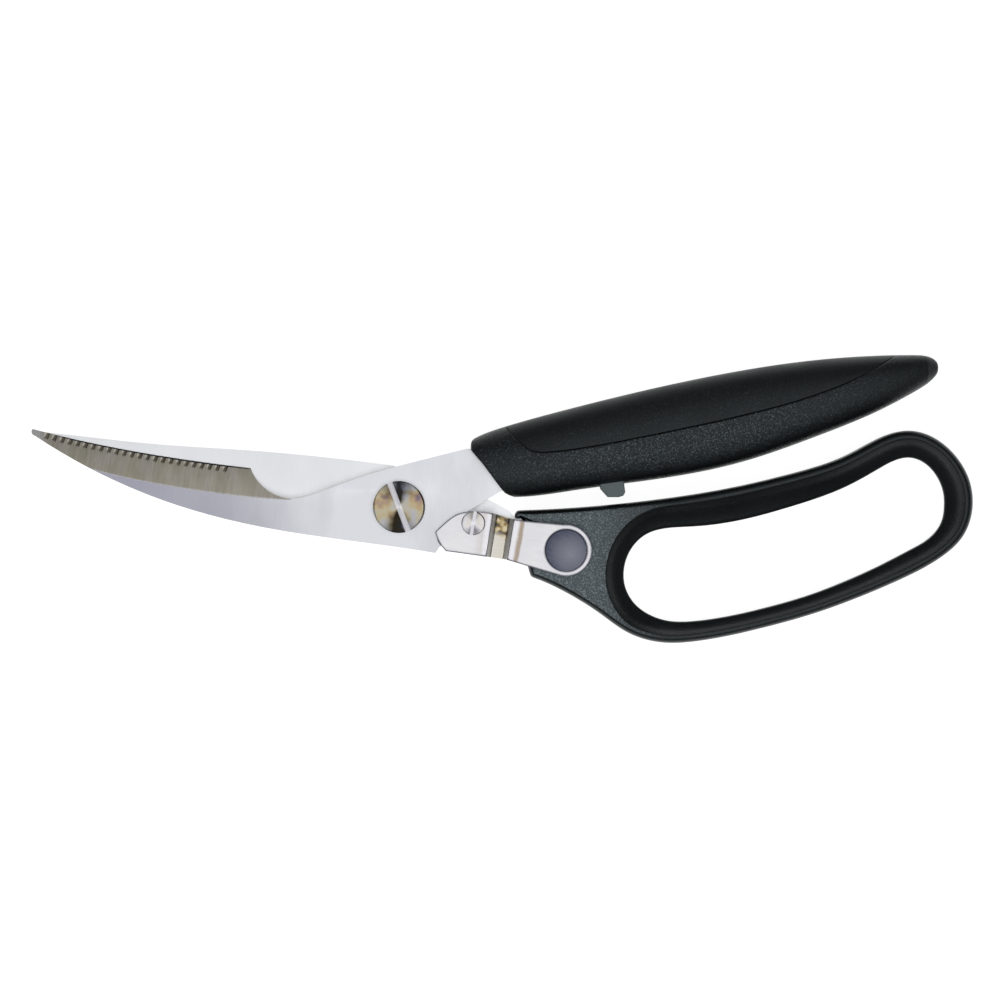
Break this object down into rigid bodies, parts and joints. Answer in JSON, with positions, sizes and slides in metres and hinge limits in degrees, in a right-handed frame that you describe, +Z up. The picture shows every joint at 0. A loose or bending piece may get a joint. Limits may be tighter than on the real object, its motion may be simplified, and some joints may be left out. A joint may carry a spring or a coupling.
{
  "type": "poultry shears",
  "caption": "Spring-opening poultry shears with a serrated curved blade, bone notch, thumb lock lever, straight bar handle and closed loop handle.",
  "frame": {"origin": "middle of the overall length and width, on the plane that the closed shears lie on", "axes": "+X from the blade tips to the handle ends, +Y from the loop handle to the bar handle, +Z up along the blade pivot"},
  "size_m": [0.25, 0.0766, 0.0159],
  "materials": {
    "blade_steel": "ground stainless steel, satin flats and a coarser ground bevel",
    "lever_steel": "polished stamped stainless steel",
    "screw_steel": "turned stainless steel with fine concentric rings",
    "spring_steel": "drawn spring steel, satin",
    "thumb_steel": "dark brushed steel pad",
    "handle_plastic": "black glass-filled nylon with a fine speckled grain",
    "grip_rubber": "smooth satin black soft insert",
    "bumper_plastic": "mid grey moulded plastic"
  },
  "bodies": {
    "rear_half": {"rear_blade": "blade_steel", "loop_handle": "handle_plastic", "pivot_screw": "screw_steel", "pivot_nut": "screw_steel", "spring_washer": "spring_steel", "opening_spring": "spring_steel", "stop_pin": "screw_steel", "lever_screw": "screw_steel", "lever_bush": "screw_steel", "lever_washer": "spring_steel"},
    "front_half": {"front_blade": "blade_steel", "bar_handle": "handle_plastic", "bar_grip": "grip_rubber", "handle_bumper": "bumper_plastic"},
    "lock_lever": {"lock_lever": "lever_steel", "thumb_button": "thumb_steel"}
  },
  "joints": [
    {"name": "blade_pivot", "type": "hinge", "parent": "rear_half", "child": "front_half", "pos_m": [-0.0273, -0.0022, 0.0076], "axis": [0, 0, 1], "range_deg": [-1.5, 35], "stiffness_Nm_per_rad": 0.29, "springref_deg": 71.62, "deforming": ["opening_spring"]},
    {"name": "lock_lever_pivot", "type": "hinge", "parent": "rear_half", "child": "lock_lever", "pos_m": [-0.0076, -0.0065, 0.0117], "axis": [0, 0, -1], "range_deg": [0, 12]}
  ]
}
